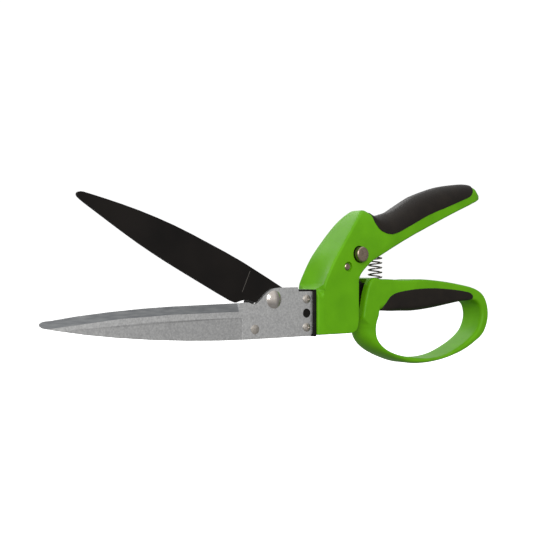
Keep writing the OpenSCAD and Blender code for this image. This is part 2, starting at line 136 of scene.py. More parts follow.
def ease(x, start, end):
    """0 before start and 1 after end, with the cubic 3t^2 - 2t^3 between."""
    t = np.clip((x - start) / (end - start), 0, 1)
    return t * t * (3 - 2 * t)


# ---- meshes ----


def placed(name, mesh):
    """A new object in the scene with this mesh."""
    piece = bpy.data.objects.new(name, mesh)
    bpy.context.scene.collection.objects.link(piece)
    return piece


def grid_mesh(name, grid, ring=True, loop=False):
    """A mesh from a grid of points in design millimetres, rows by points around. ring joins each
    row's last point to its first. The first and last rows are capped, or joined where loop is true."""
    rows, around = grid.shape[:2]
    index = np.arange(rows * around).reshape(rows, around)
    if ring:
        index = np.hstack([index, index[:, :1]])
    body = np.vstack([index, index[:1]]) if loop else index
    quads = np.stack([body[:-1, :-1], body[1:, :-1], body[1:, 1:], body[:-1, 1:]], -1).reshape(-1, 4)
    faces = quads.tolist()
    if ring and not loop:
        faces += [index[0, :-1].tolist(), index[-1, :-1][::-1].tolist()]
    mesh = bpy.data.meshes.new(name)
    mesh.from_pydata((grid.reshape(-1, 3) * MM + ORIGIN).tolist(), [], faces)
    work = bmesh.new()
    work.from_mesh(mesh)
    bmesh.ops.remove_doubles(work, verts=work.verts, dist=0.002 * MM)
    bmesh.ops.dissolve_degenerate(work, edges=work.edges, dist=0.001 * MM)
    bmesh.ops.recalc_face_normals(work, faces=work.faces)
    work.to_mesh(mesh)
    work.free()
    return placed(name, mesh)


def prism(outline, y0, y1):
    """An outline in X and Z carried along Y."""
    p = np.asarray(outline, float)
    return grid_mesh("prism", np.stack([np.insert(p, 1, y, axis=1) for y in (y0, y1)]))


def revolved(name, profile, at, around=64):
    """A profile of radius and Y turned about the line along Y at (x, z)."""
    r, y = np.asarray(profile, float).T
    a = np.linspace(0, 2 * np.pi, around, endpoint=False)
    x = at[0] + r[:, None] * np.cos(a)
    z = at[1] + r[:, None] * np.sin(a)
    return grid_mesh(name, np.stack([x, y[:, None] + 0 * a, z], -1))


def rod_y(r, y0, y1, at):
    """A round cutter along Y."""
    return revolved("rod", [(r, y0), (r, y1)], at)


def rod_along(axis, r, start, end, at):
    """A round cutter along X (axis 0) or Z (axis 2): a circle of radius r carried from start to
    end. at is its place on the other two axes."""
    a = np.linspace(0, 2 * np.pi, 64, endpoint=False)
    circle = [at[0] + r * np.cos(a), at[1] + r * np.sin(a)]
    rows = [np.insert(np.stack(circle, -1), axis, s, axis=1) for s in (start, end)]
    return grid_mesh("rod", np.stack(rows))


def baked(piece):
    """The piece with its modifiers worked into its mesh."""
    bpy.context.view_layer.update()
    mesh = bpy.data.meshes.new_from_object(piece.evaluated_get(bpy.context.evaluated_depsgraph_get()))
    piece.modifiers.clear()
    piece.data = mesh
    return piece


def cut(piece, *cutters, keep_inside=False):
    """Takes the cutters out of the piece, or keeps only what lies in them."""
    for cutter in cutters:
        m = piece.modifiers.new("cut", "BOOLEAN")
        m.operation = "INTERSECT" if keep_inside else "DIFFERENCE"
        m.solver = "EXACT"
        m.object = cutter
    baked(piece)
    for cutter in cutters:
        bpy.data.objects.remove(cutter)
    return piece


def dressed(piece, material, body, nodes, sharp=32, bevel=0):
    """Shades the piece smooth up to a sharp angle, rounds its edges by bevel mm, gives it its
    finish, says which body carries it, and hides the CAD nodes it stands for."""
    mesh = piece.data
    mesh.shade_smooth()
    mesh.set_sharp_from_angle(angle=math.radians(sharp))
    if bevel:
        m = piece.modifiers.new("edges", "BEVEL")
        m.width = bevel * MM
        m.segments = 2
        m.limit_method = "ANGLE"
        m.angle_limit = math.radians(sharp)
        m.harden_normals = True
    if not mesh.materials:
        mesh.materials.append(material)
    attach(piece, body)
    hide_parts(*nodes)
    return piece


def cad_copy(node, name):
    """A copy of a CAD node's mesh in one piece: doubles merged and flat areas made single faces."""
    work = bmesh.new()
    work.from_mesh(frame["nodes"][node].data)
    bmesh.ops.remove_doubles(work, verts=work.verts, dist=0.001 * MM)
    bmesh.ops.dissolve_limit(work, angle_limit=math.radians(0.3), verts=work.verts, edges=work.edges)
    mesh = bpy.data.meshes.new(name)
    work.to_mesh(mesh)
    work.free()
    return placed(name, mesh)


def face_rows(mesh, what):
    """A row of three numbers for each face of a mesh: its "center" or its "normal"."""
    rows = np.zeros(len(mesh.polygons) * 3)
    mesh.polygons.foreach_get(what, rows)
    return rows.reshape(-1, 3)


def face_depths(mesh, y):
    """How far each face's centre lies behind y, in millimetres."""
    return (face_rows(mesh, "center")[:, 1] - ORIGIN[1]) / MM - y


# ---- finishes ----

# The values of a noise pattern between which a finish goes from its first state to its second
NOISE_LOW, NOISE_HIGH = 0.3, 0.7


def paint(code):
    """An sRGB hex colour as linear light."""
    c = np.array([int(code[i:i + 2], 16) for i in (0, 2, 4)]) / 255
    return (*np.where(c <= 0.04045, c / 12.92, ((c + 0.055) / 1.055) ** 2.4).tolist(), 1.0)


def add(tree, kind, inputs=None, **settings):
    """Adds one node with its settings. inputs are values, or the sockets that feed them."""
    n = tree.nodes.new("ShaderNode" + kind)
    for key, value in settings.items():
        setattr(n, key, value)
    for key, value in (inputs or {}).items():
        if isinstance(value, bpy.types.NodeSocket):
            tree.links.new(value, n.inputs[key])
        else:
            n.inputs[key].default_value = value
    return n


def finish(name, tones, drift_mm, roughness, grain_mm, height_mm, stretch=(1, 1, 1), **shader):
    """A finish whose colour drifts between two tones over drift_mm, and whose grain of grain_mm
    stands height_mm high and carries the roughness from its first value to its second. stretch
    squeezes the pattern along X, Y and Z."""
    m = bpy.data.materials.new(name)
    m.use_nodes = True
    t = m.node_tree
    t.nodes.clear()
    where = add(t, "Mapping", {"Vector": add(t, "TexCoord").outputs["Object"], "Scale": stretch}).outputs[0]
    drift = add(t, "TexNoise", {"Vector": where, "Scale": 1 / (drift_mm * MM), "Detail": 3.0})
    tone = add(t, "MapRange", {"Value": drift.outputs[0], "From Min": NOISE_LOW, "From Max": NOISE_HIGH})
    blend = {"Factor": tone.outputs[0], 6: paint(tones[0]), 7: paint(tones[1])}
    colour = add(t, "Mix", blend, data_type="RGBA")
    grain = add(t, "TexNoise", {"Vector": where, "Scale": 1 / (grain_mm * MM), "Detail": 2.0})
    rough = add(t, "MapRange", {"Value": grain.outputs[0], "From Min": NOISE_LOW, "From Max": NOISE_HIGH,
                                "To Min": roughness[0], "To Max": roughness[1]})
    bump = add(t, "Bump", {"Height": grain.outputs[0], "Distance": height_mm * MM, "Strength": 1.0})
    constants = {key.replace("_", " "): value for key, value in shader.items()}
    surface = add(t, "BsdfPrincipled", {"Base Color": colour.outputs[2], "Roughness": rough.outputs[0],
                                        "Normal": bump.outputs[0], **constants})
    add(t, "OutputMaterial", {"Surface": surface.outputs[0]})
    return m


# ABS injected in a spark-eroded mould: a clear mid green with a satin skin of fine pits.
GREEN = finish("abs_moulded_green", ("529006", "5B9B09"), 14, (0.4, 0.52), 0.5, 0.006, IOR=1.53,
               Specular_IOR_Level=0.12)
# Soft thermoplastic rubber moulded over the handles: a warm black that scatters light widely.
GRIP = finish("tpr_overmoulded_black", ("16120F", "1D1813"), 9, (0.42, 0.55), 0.6, 0.01, IOR=1.5,
              Specular_IOR_Level=0.17)
# Glass-filled nylon: near black, with a dull skin mottled by the fibres.
NYLON = finish("nylon_glass_filled_black", ("0A0908", "110F0D"), 4, (0.5, 0.65), 0.5, 0.008, IOR=1.53,
               Specular_IOR_Level=0.14)
# Steel blade with a baked fluoropolymer coating: brown-black, thin, evenly dull.
COATED = finish("steel_ptfe_coated", ("0F0D0C", "171412"), 22, (0.46, 0.6), 0.7, 0.006,
                Specular_IOR_Level=0.1)
# The coating where the blade's slide has rubbed it to a grey line.
RUBBED = finish("steel_ptfe_rubbed", ("3A3632", "4A4540"), 3, (0.4, 0.5), 0.5, 0.004)
# Stamped sheet steel, zinc plated and tumbled: light grey with a speckle of crystals. The crystals
# are about 0.3 mm and are drawn three times as coarse, because they wouldn't show.
ZINC = finish("steel_zinc_tumbled", ("B4B4B4", "D2D2D1"), 1.0, (0.42, 0.6), 0.9, 0.01, Metallic=1.0)
# The same sheet where the die has coined the blade: flatter and darker.
COINED = finish("steel_zinc_coined", ("A8A8A8", "C4C4C3"), 1.0, (0.42, 0.6), 0.9, 0.01, Metallic=1.0)
# The bevel ground along the blade: darker steel with fine lines across it.
GROUND = finish("steel_ground_edge", ("7B7D80", "959798"), 1.2, (0.32, 0.5), 0.8, 0.006,
                stretch=(0.15, 1, 1), Metallic=1.0)
# Turned and polished steel: bright, faintly warm, with a trace of tool marks.
BRIGHT = finish("steel_turned_polished", ("C8BFB6", "D8D2CC"), 2, (0.1, 0.2), 0.6, 0.002, Metallic=1.0)
# Nickel-plated pins: the same steel with a softer face; their brownish tone is a painted reflection.
PIN_PAINTED_REFLECTION = finish("steel_pin_painted_brown_reflection", ("877768", "9F8F7F"), 1.2, (0.25, 0.4), 0.5, 0.006, Metallic=1.0)
# Zinc-plated screws and rivet: a little warmer than the plate they hold.
FASTENER = finish("steel_fastener_plated", ("ACA59C", "CCC6BE"), 1.2, (0.25, 0.4), 0.5, 0.006, Metallic=1.0)
# Oil-tempered spring wire: dark and smooth along its drawing.
WIRE = finish("steel_spring_wire", ("5F5B57", "85807A"), 1.5, (0.22, 0.35), 0.5, 0.002, Metallic=1.0)
# Cut sheet steel of the lever, the clips and the wave washer: dark grey.
SHEET = finish("steel_sheet_cut", ("3C3A38", "504E4B"), 1.5, (0.35, 0.5), 0.6, 0.004, Metallic=1.0)


# ---- housing and handles ----


def rounded_sections(stations, half_width, spread=1.0, facet=4, corner=8, side=26, dish=0):
    """Closed sections carried along stations of nine columns: guide points F (x, z) and U (x, z),
    corner depth a and width b at F, the same at U, and an inset. From the middle of the flat at
    F the section runs out to w - b, round a quarter ellipse a deep and b wide, along the flat
    side at w, round the second quarter ellipse, and in along the flat at U; the far half mirrors
    it. w is half_width(x, z) less the inset. spread above 1 crowds the side's points towards F.
    The flat at F is hollowed by dish at its middle, less the square of the share of its width."""
    f_at, u_at = stations[:, 0:2], stations[:, 2:4]
    a_f, b_f, a_u, b_u, inset = (c[:, None] for c in stations[:, 4:9].T)
    length = np.linalg.norm(u_at - f_at, axis=1)[:, None]
    shrink = np.minimum(1, 0.92 * length / (a_f + a_u))
    a_f, a_u = a_f * shrink, a_u * shrink
    turn = np.linspace(0, np.pi / 2, corner + 1)
    flat = np.linspace(0, 1, facet, endpoint=False)
    along = np.linspace(0, 1, side + 1)[1:-1] ** spread
    level, full = np.ones(facet), np.ones(corner + 1)
    q = np.hstack([dish * (1 - flat**2) + 0 * length, a_f * (1 - np.cos(turn)),
                   a_f + (length - a_f - a_u) * along, length - a_u * (1 - np.sin(turn)), length * level])
    drop = np.hstack([b_f * level, b_f * (1 - np.sin(turn)), 0 * length * along,
                      b_u * (1 - np.cos(turn)), b_u * level])
    out = np.concatenate([flat, full, np.ones(side - 1), full, 1 - flat - 1 / facet])
    xz = f_at[:, None] + (u_at - f_at)[:, None] * (q / length)[..., None]
    x, z = xz[..., 0], xz[..., 1]
    y = out * (half_width(x, z) - inset - drop)
    near, far = np.stack([x, -y, z], -1), np.stack([x, y, z], -1)
    return np.concatenate([near, far[:, -2:0:-1]], axis=1)


# The housing seen from above: X, and the half-width there.
PLAN = np.array([(-1, 12.1), (1.5, 12.7), (4, HOUSING_HALF_W), (44, HOUSING_HALF_W), (60, 12.3), (76, 11.5),
                 (140, 11.5), (149, 10.4), (154.5, 7.8), (158, 4.5)])
# The fin leans in towards its crest: height, and the half-width there.
FLANK = smooth([(30, 13.2), (38, 12.8), (44, 12.2), (50, 11.4), (56, 10.2), (60, 8.8), (64, 6.6),
                (66.5, 5.2)], 6)
NOSE_R = 6.9


def housing_half_width(x, z):
    """The plan's half-width, drawn in to the fin's flank up to where the handle begins, and limited
    over the nose by a round of NOSE_R at its upper corners. That limit fades out across the foot
    of the fin, which leaves the hollow in front of it."""
    w = np.interp(x, *PLAN.T)
    w = w - np.maximum(w - np.interp(z, *FLANK.T), 0) * (1 - ease(x, 54, 78))
    rise = np.clip(z - (HEAD_TOP - NOSE_R), 0, NOSE_R)
    nose = HOUSING_HALF_W - NOSE_R + np.sqrt(NOSE_R**2 - rise**2)
    return np.minimum(w, nose + NOSE_R * ease(x, 3.2, 5.6))


# F runs up the front face, over the nose, up the fin's ridge and along the handle's top; U runs
# up the heel, round the arch and along the underside.
HOUSING = [
    (0.9, -13.6, 26.2, -13.45, 0.6, 0.6, 0.6, 0.6, 0.9),
    (0.25, -13.35, 28.4, -13.2, 0.9, 0.8, 1, 1, 0.25),
    (0, -12.7, 30.5, -12.7, 1.2, 1, 1.5, 1.5, 0),
    (0, -10.8, 33, -10.6, 1.2, 1, 1.5, 1.5, 0),
    (0, -6.5, 34.2, -6.3, 1.2, 1, 1.5, 1.5, 0),
    (0, 0, 34.3, 0.5, 1.2, 1, 1.5, 1.5, 0),
    (0, 5, 34.3, 5, 1.2, 1, 1.5, 1.5, 0),
    (0, 8, 34.3, 7.4, 1.1, 1, 1.5, 1.5, 0),
    (0, 10.5, 34.3, 9, 1, 1, 1.5, 1.5, 0),
    (0, 12.5, 34.3, 10.2, 1, 1, 1.5, 1.5, 0),
    (0, 13.6, 34.3, 10.9, 1, 1, 1.5, 1.5, 0),
    (0.25, 14.15, 34.3, 11.3, 1, 1, 1.5, 1.5, 0),
    (0.9, 14.4, 34.3, 11.6, 1, 1, 1.5, 1.5, 0),
    (2.2, 14.4, 34.3, 12, 1, 1, 1.5, 1.5, 0),
    (3.2, 14.45, 34.3, 12.4, 1.1, 1.1, 1.5, 1.5, 0),
    (4.1, 15.1, 34.3, 13, 1.2, 1.2, 1.5, 1.5, 0),
    (4.8, 16.5, 34.3, 13.8, 1.2, 1.2, 1.5, 1.5, 0),
    (7.4, 22, 34.3, 16.3, 1.2, 1.2, 1.5, 1.5, 0),
    (14, 33.2, 34.4, 20, 1.2, 1.2, 1.5, 1.5, 0),
    (23.2, 45, 36.1, 23.8, 1.3, 1.3, 1.5, 1.5, 0),
    (33, 56.4, 40.8, 28.2, 1.5, 1.5, 1.6, 1.6, 0),
    (40.4, 63.3, 44.6, 31.2, 1.8, 1.7, 1.6, 1.6, 0),
    (44.8, 65.3, 47.6, 32.9, 2.2, 2, 1.6, 1.6, 0),
    (49.5, 63.4, 50.8, 34.5, 3, 2.4, 1.6, 1.6, 0),
    (54, 61.7, 55, 36.3, 5.5, 3.6, 1.6, 1.6, 0),
    (59, 61.8, 59.5, 38.4, 9, 6, 1.6, 1.6, 0),
    (65, 63, 64.5, 40.7, 12, 8.3, 1.6, 1.6, 0),
    (73, 65.5, 70.5, 43.4, 13, 10.5, 1.6, 1.6, 0),
    (88, 73.4, 85, 49.8, 12.5, 11, 1.6, 1.6, 0),
    (97, 77.4, 95.3, 54.1, 12.5, 11, 1.6, 1.6, 0),
    (117, 83.5, 115, 62.2, 12, 11, 1.6, 1.6, 0),
    (134.5, 86.4, 132, 68.9, 10, 10.5, 1.6, 1.6, 0),
    (144, 87, 143, 73, 7.5, 8.5, 1.6, 1.6, 0),
    (148.4, 86.1, 148.5, 75, 5, 6.5, 1.4, 1.4, 0),
    (151.4, 83.5, 152, 76.2, 3, 4.2, 1, 1, 0),
    (154.6, 80.8, 155, 77.3, 1.4, 2, 0.7, 0.7, 0),
    (157, 78.6, 156.6, 77.9, 0.3, 0.5, 0.3, 0.5, 0.3),
]
LEVER_SPACE = [(15.5, -8.5), (45, -8.5), (45, 24), (58, 33), (50, 46), (36, 48), (24, 42), (17.5, 34),
               (15.5, 26)]
LEVER_ROOM = 5.5
# Bores as a radius, a start and an end: along Z for the spring, along X for the swivel shaft and
# its retaining ring, and along Y for the pins, which are wider at their ends for heads and clips
SPRING_BORE = (5.5, 25, 46.2)
SHAFT_BORES = [(7.55, -1, 12.5), (8.9, 12, 16)]
HANDLE_PIN_BORES = [(2.3, -THROUGH, THROUGH), (3.15, -THROUGH, -11.6), (3.9, 11.4, THROUGH)]
LOCK_PIN_BORES = [(5.45, -THROUGH, -4), (3.05, -THROUGH, THROUGH), (4.4, 9.5, THROUGH)]

sections = smooth(HOUSING, 6)
sections[:, 8] = np.maximum(sections[:, 8], 0)
# The fin's foot is hollow in front, deepest a little above the nose.
HOLLOW_DEPTH = 3.2
hollow = HOLLOW_DEPTH * ease(sections[:, 1], HEAD_TOP, 18) * (1 - ease(sections[:, 1], 19, 38))
housing = grid_mesh("housing", rounded_sections(sections, housing_half_width, spread=1.7,
                                                dish=hollow[:, None]))
cut(housing,
    prism(LEVER_SPACE, -LEVER_ROOM, LEVER_ROOM),
    rod_along(2, *SPRING_BORE, (SPRING_X, 0)),
    *[rod_along(0, *bore, (0, 0)) for bore in SHAFT_BORES],
    *[rod_y(*bore, HANDLE_PIN) for bore in HANDLE_PIN_BORES],
    *[rod_y(*bore, LOCK_PIN) for bore in LOCK_PIN_BORES])
dressed(housing, GREEN, "housing", ["handle_body"])

# The soft grip: the same way of making sections, fuller than the handle below it, kept inside
# its outline as seen from the side.
GRIP_LOW = [(50.5, 67), (49.5, 62), (50.6, 57), (54.5, 52.4), (61.5, 50.1), (69.2, 51.2), (83.8, 57.3),
            (99.6, 64.2), (118.6, 70.6), (133, 75.6), (139.5, 77.9), (143.2, 80.3), (145.2, 83.6),
            (146.6, 89)]
UPPER_GRIP = [
    (46.5, 65.9, 48, 35, 2.2, 2, 1, 1, 0.2),
    (50, 63.7, 51.2, 36.5, 3, 2.5, 1, 1, -0.15),
    (54, 62.2, 55.2, 38.4, 5.5, 3.8, 1, 1, -0.3),
    (59, 62.3, 59.8, 40.5, 9, 6.2, 1, 1, -0.35),
    (65, 63.7, 64.8, 42.8, 12, 8.2, 1, 1, -0.4),
    (73, 66.3, 70.8, 45.5, 13.5, 10, 1, 1, -0.4),
    (88, 74.2, 85.3, 52.2, 14, 10.6, 1, 1, -0.4),
    (97, 78.2, 95.6, 56.8, 14, 10.6, 1, 1, -0.4),
    (117, 84.2, 115.3, 65, 13, 10.4, 1, 1, -0.4),
    (134.5, 87.2, 132.3, 71.6, 10.5, 9.8, 1, 1, -0.35),
    (144, 87.8, 143.2, 75.7, 8, 8.2, 1, 1, -0.3),
    (148.4, 86.7, 148.6, 77.4, 5.6, 6.4, 1, 1, -0.2),
    (152, 84, 152, 79, 3.6, 4.4, 1, 1, 0.1),
]
grip = grid_mesh("soft_grip_upper", rounded_sections(smooth(UPPER_GRIP, 8), housing_half_width, corner=14))
over_the_top = [(140, 110), (60, 110)]
cut(grip, prism(np.vstack([smooth(GRIP_LOW, 8), over_the_top]), -THROUGH, THROUGH), keep_inside=True)
dressed(grip, GRIP, "housing", ["upper_grip"], sharp=40)

LOOP_OUTER = [(47.2, 19.4), (58.9, 20.6), (79.3, 19.9), (94, 20.4), (112, 19.3), (130, 17.2), (148.3, 13.9),
              (158.6, 8.6), (163.1, -0.6), (162.5, -10.9), (155.6, -20.9), (139.6, -29.3), (118.4, -34.6),
              (98, -36.6), (81.2, -35.4), (64.8, -30.8), (52.9, -25.4), (45.5, -19), (42.4, -12), (40.6, -4)]
LOOP_HOLE = [(57.9, 0.9), (54.8, -4.2), (52.9, -10.4), (53.6, -17.6), (58.5, -23.3), (66.5, -27.5),
             (76.4, -30.4), (88, -32.2), (100, -33.3), (110.3, -33), (120.4, -31.3), (130.7, -27.9),
             (141.3, -23.2), (151, -16.8), (155.6, -9.7), (156.3, -3.5), (153.6, 2.4), (146, 5.6),
             (133.6, 5), (116.9, 2.7), (102.2, 0.8), (88.6, -0.3), (74.9, -0.2)]
# The line that the loop's sections fan out from
HUB = np.array([(66, -13.5), (139, -7)])


def spokes(around_end, along):
    """Starts and directions of lines that leave a straight hub at right angles, and fan out round
    its two ends: the hub drawn as a stadium of no width."""
    line = HUB[1] - HUB[0]
    heading = math.atan2(line[1], line[0])
    fan = np.linspace(0, np.pi, around_end, endpoint=False)
    t = np.linspace(0, 1, along, endpoint=False)
    angles = np.concatenate([np.full(along, heading + np.pi / 2), heading + np.pi / 2 - fan,
                             np.full(along, heading - np.pi / 2), heading - np.pi / 2 - fan])
    share = np.concatenate([t, np.ones(around_end), 1 - t, np.zeros(around_end)])
    return HUB[0] + line * share[:, None], np.stack([np.cos(angles), np.sin(angles)], -1)


def struck(starts, directions, outline):
    """Where each line first meets a closed outline: for each of its sides the crossing solves
    start + s d = a + t (b - a), and the nearest with s above 0 and t from 0 to 1 is kept."""
    a = outline[None]
    side = np.roll(outline, -1, axis=0)[None] - a
    gap = a - starts[:, None]
    d = directions[:, None]
    cross = d[..., 0] * side[..., 1] - d[..., 1] * side[..., 0]
    s = (gap[..., 0] * side[..., 1] - gap[..., 1] * side[..., 0]) / cross
    t = (gap[..., 0] * d[..., 1] - gap[..., 1] * d[..., 0]) / cross
    s = np.where((s > 0) & (t >= -1e-9) & (t <= 1 + 1e-9), s, np.inf).min(axis=1)
    return starts + directions * s[:, None]


def loop_stations():
    """Outer and inner points on each spoke. The outer corners are small, and swell to a full crown
    below the housing: the share of crown rises as the point falls under the housing's heel and
    fades along the bottom."""
    starts, directions = spokes(96, 72)
    outer = struck(starts, directions, smooth_closed(LOOP_OUTER, 10))
    outer = np.column_stack([np.minimum(outer[:, 0], REAR_X), np.maximum(outer[:, 1], BOTTOM_Z)])
    inner = struck(starts, directions, smooth_closed(LOOP_HOLE, 10))
    x, z = outer.T
    crown = ease(-z, 3.5, 8.5) * (1 - ease(x, 56, 92))
    under = ease(-z, 15, 25) * ease(x, 56, 92) * (1 - ease(x, 150, 160))
    a_f = 1.7 + 6.2 * crown + 1.0 * under
    b_f = 2.0 + 6.9 * crown + 1.6 * under
    a_u = 2.0 + 2.2 * ease(z, 12, 18)
    b_u = np.full_like(x, 2.4)
    return np.column_stack([outer, inner, a_f, b_f, a_u, b_u, np.zeros_like(x)])


def loop_half_width(x, z):
    """A constant half-width."""
    return np.full_like(x, LOOP_HALF_W)


# The hollow in the front of the loop handle, and its half-width
LOOP_HOLLOW = [(36, -3), (45, -3), (50, 6), (51, 16), (47, 24), (36, 24)]
HOLLOW_ROOM = 4.4
loop = grid_mesh("loop", rounded_sections(loop_stations(), loop_half_width, side=14), loop=True)
cut(loop,
    prism(LOOP_HOLLOW, -HOLLOW_ROOM, HOLLOW_ROOM),
    rod_along(2, SPRING_ROOM, SPRING_LOW, 30, (SPRING_X, 0)))
dressed(loop, GREEN, "lower_handle", ["loop_handle"])

# The lower grip: T follows its upper line on the loop's side, B the finger hole's edge.
LOWER_GRIP = [
    (57.4, 0.7, 57.9, 0.1, 0.3, 0.3, 0.3, 0.4, 0.3),
    (58.2, 2.2, 59.9, -0.1, 0.5, 0.6, 1, 1.4, 0),
    (59.2, 3.9, 62.4, -0.3, 0.6, 0.8, 2, 2.4, -0.1),
    (61.6, 6.6, 66.2, -0.5, 0.8, 1, 3, 3.2, -0.2),
    (65.1, 9.6, 70.3, -0.6, 0.8, 1, 3.4, 3.8, -0.3),
    (72, 12, 75.5, -0.6, 0.8, 1, 3.6, 4, -0.4),
    (88.6, 13.9, 88.6, -0.7, 0.8, 1, 3.6, 4, -0.5),
    (107.1, 14.3, 106, 0.8, 0.8, 1, 3.6, 4, -0.5),
    (126.4, 13.2, 124, 3.3, 0.8, 1, 3.2, 3.6, -0.4),
    (138, 11.9, 134.5, 4.8, 0.8, 1, 2.2, 2.8, -0.3),
    (142.8, 11, 138.8, 5.1, 0.8, 1, 1.8, 2.2, -0.2),
    (145.4, 9.8, 141.6, 5.3, 0.7, 0.8, 1.3, 1.6, -0.1),
    (146.7, 8.3, 143.8, 5.6, 0.5, 0.6, 0.9, 1.1, 0),
    (146.9, 7.3, 145.3, 6.2, 0.3, 0.4, 0.4, 0.5, 0.2),
]
lower = grid_mesh("soft_grip_lower", rounded_sections(smooth(LOWER_GRIP, 8), loop_half_width))
dressed(lower, GRIP, "lower_handle", ["lower_grip"], sharp=40)


# ---- spring ----


def helix_spring():
    """A round wire carried along a helix: the coil's angle turns evenly while its height climbs
    one wire's width in each end turn and evenly in the others."""
    turns, wire, outer = 9.5, 1.0, 9.8
    r = (outer - wire) / 2
    height = SPRING_HIGH - SPRING_LOW - wire
    t = np.linspace(0, turns, int(turns * 48) + 1)
    climb = np.interp(t, [0, 1, turns - 1, turns], [0, wire, height - wire, height])
    a, b = 2 * np.pi * t[:, None], np.linspace(0, 2 * np.pi, 12, endpoint=False)
    reach = r + wire / 2 * np.cos(b)
    return np.stack([SPRING_X + reach * np.cos(a), reach * np.sin(a),
                     SPRING_LOW + wire / 2 + climb[:, None] + wire / 2 * np.sin(b) + 0 * a], -1)


spring = dressed(grid_mesh("coil_spring", helix_spring()), WIRE, "housing",
                 ["return_spring"], sharp=60)
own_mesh(spring)


# ---- blades ----

# The coined panel of the lower blade ends in a fine step below the bevel and
# another across the blade by the plate.
PANEL = [(-180, -6.2), (-165, -5.2), (-147.6, -4.2), (-115.6, -2.4), (-74.8, -1.6), (-54.7, -1.6),
         (-54.5, -1.9), (-54.5, -20), (-180, -20)]
PANEL_DEPTH = 0.12
fixed = cad_copy("fixed_blade", "fixed_blade_stamped")
cut(fixed, prism(PANEL, PLATE_Y - 1, PLATE_Y + PANEL_DEPTH))
fixed.data.materials.append(ZINC)
fixed.data.materials.append(GROUND)
fixed.data.materials.append(COINED)
normals = face_rows(fixed.data, "normal")
ground = (normals[:, 1] < -0.9) & (normals[:, 2] > 0.1)
depth = face_depths(fixed.data, PLATE_Y)
coined = (normals[:, 1] < -0.99) & (depth > PANEL_DEPTH / 2) & (depth < PANEL_DEPTH * 1.5) & ~ground
fixed.data.polygons.foreach_set("material_index", (ground + 2 * coined).astype(np.int32))
dressed(fixed, ZINC, "swivel_head", ["fixed_blade"], sharp=9, bevel=0.12)

# The moving blade, with the fine line that its slide has rubbed across the coating.
TIP_ANGLE = math.radians(24.7)


def from_blade(points):
    """Points along the moving blade's own axes, turned by its open angle about the pivot."""
    x, z = np.asarray(points, float).T
    c, s = math.cos(TIP_ANGLE), math.sin(TIP_ANGLE)
    return np.column_stack([PIVOT[0] + x * c + z * s, PIVOT[1] - x * s + z * c])


RUB_DEPTH = 0.06
rub = from_blade([(-21.9, 8.7), (-21.5, 8.7), (-21.5, -4.8), (-21.9, -4.8)])
moving = cad_copy("cutting_blade", "moving_blade_coated")
cut(moving, prism(rub, MOVING_Y - 1, MOVING_Y + RUB_DEPTH))
moving.data.materials.append(COATED)
moving.data.materials.append(RUBBED)
depth = face_depths(moving.data, MOVING_Y)
rubbed = (depth > RUB_DEPTH / 3) & (depth < 0.1)
moving.data.polygons.foreach_set("material_index", rubbed.astype(np.int32))
dressed(moving, COATED, "moving_blade", ["cutting_blade"], sharp=20, bevel=0.15)


# ---- pins, screws and rivets ----


def dome(r, height, y, steps=16, edge=0.35):
    """A profile from the middle of a domed head out to its rim and back to y: y falls with the
    square of the radius by height, and the rim is edge deep."""
    rs = np.linspace(0.02, 1, steps) * r
    rise = height - (height - edge) * (rs / r) ** 2
    return [*np.column_stack([rs, y - rise]).tolist(), [r, y]]


REAR_T = 1.6
REAR_BACK = REAR_Y + REAR_T

# Each of these is a profile of radius and Y, turned about the line that the part stands on.
bolt = revolved("pivot_bolt_domed", [*dome(5.35, 2.2, PLATE_Y, 24, 0.3), (3.15, PLATE_Y),
                                     (3.15, REAR_BACK + 4), (0.02, REAR_BACK + 4)], PIVOT, 96)
dressed(bolt, BRIGHT, "swivel_head", ["pivot_bolt"], sharp=50)

rivet = revolved("plate_rivet_domed", [*dome(2.8, 0.6, PLATE_Y, 8, 0.25), (2, PLATE_Y), (2, REAR_BACK),
                                       (2.8, REAR_BACK), (2.8, REAR_BACK + 0.4), (2.3, REAR_BACK + 0.6),
                                       (0.02, REAR_BACK + 0.6)], RIVET)
dressed(rivet, FASTENER, "swivel_head", ["plate_rivet"], sharp=50)

# Half the length and half the width of a cross recess's arms
ARM, ARM_W = 1.6, 0.42
pair = []
for z in (-SCREW_Z, SCREW_Z):
    profile = [*dome(2.6, 1.1, PLATE_Y, 10, 0.5), (1.35, PLATE_Y), (1.35, 4), (0.02, 4)]
    screw = revolved("screw", profile, (SCREW_X, z), 48)
    arms = [[(SCREW_X - w, z - h), (SCREW_X + w, z - h), (SCREW_X + w, z + h), (SCREW_X - w, z + h)]
            for w, h in ((ARM, ARM_W), (ARM_W, ARM))]
    pair.append(cut(screw, *[prism(arm, PLATE_Y - 2, PLATE_Y) for arm in arms]))
both = bmesh.new()
for screw in pair:
    both.from_mesh(screw.data)
screw_mesh = bpy.data.meshes.new("plate_screws_pan_head")
both.to_mesh(screw_mesh)
both.free()
for screw in pair:
    bpy.data.objects.remove(screw)
screws = placed("plate_screws_pan_head", screw_mesh)
dressed(screws, FASTENER, "swivel_head", ["plate_screws"], sharp=40)

LOCK_PROFILE = [(0.02, -16.35), (0.9, -16.4), (3.9, -16.5), (4.25, -16.45), (4.75, -15.9), (4.75, -8.2),
                (3, -8.2), (3, -2.2), (1.75, -2.2), (1.75, 2.2), (3, 2.2), (3, 10.2), (1.75, 10.2),
                (1.75, 11), (2.6, 11), (2.6, 12.2), (2.3, 12.5), (0.02, 12.5)]
# The turned pins' brownish colour is a painted reflection.
lock = revolved("lock_pin_turned", LOCK_PROFILE, LOCK_PIN, 96)
dressed(lock, PIN_PAINTED_REFLECTION, "lock", ["lock_pin"], sharp=30)

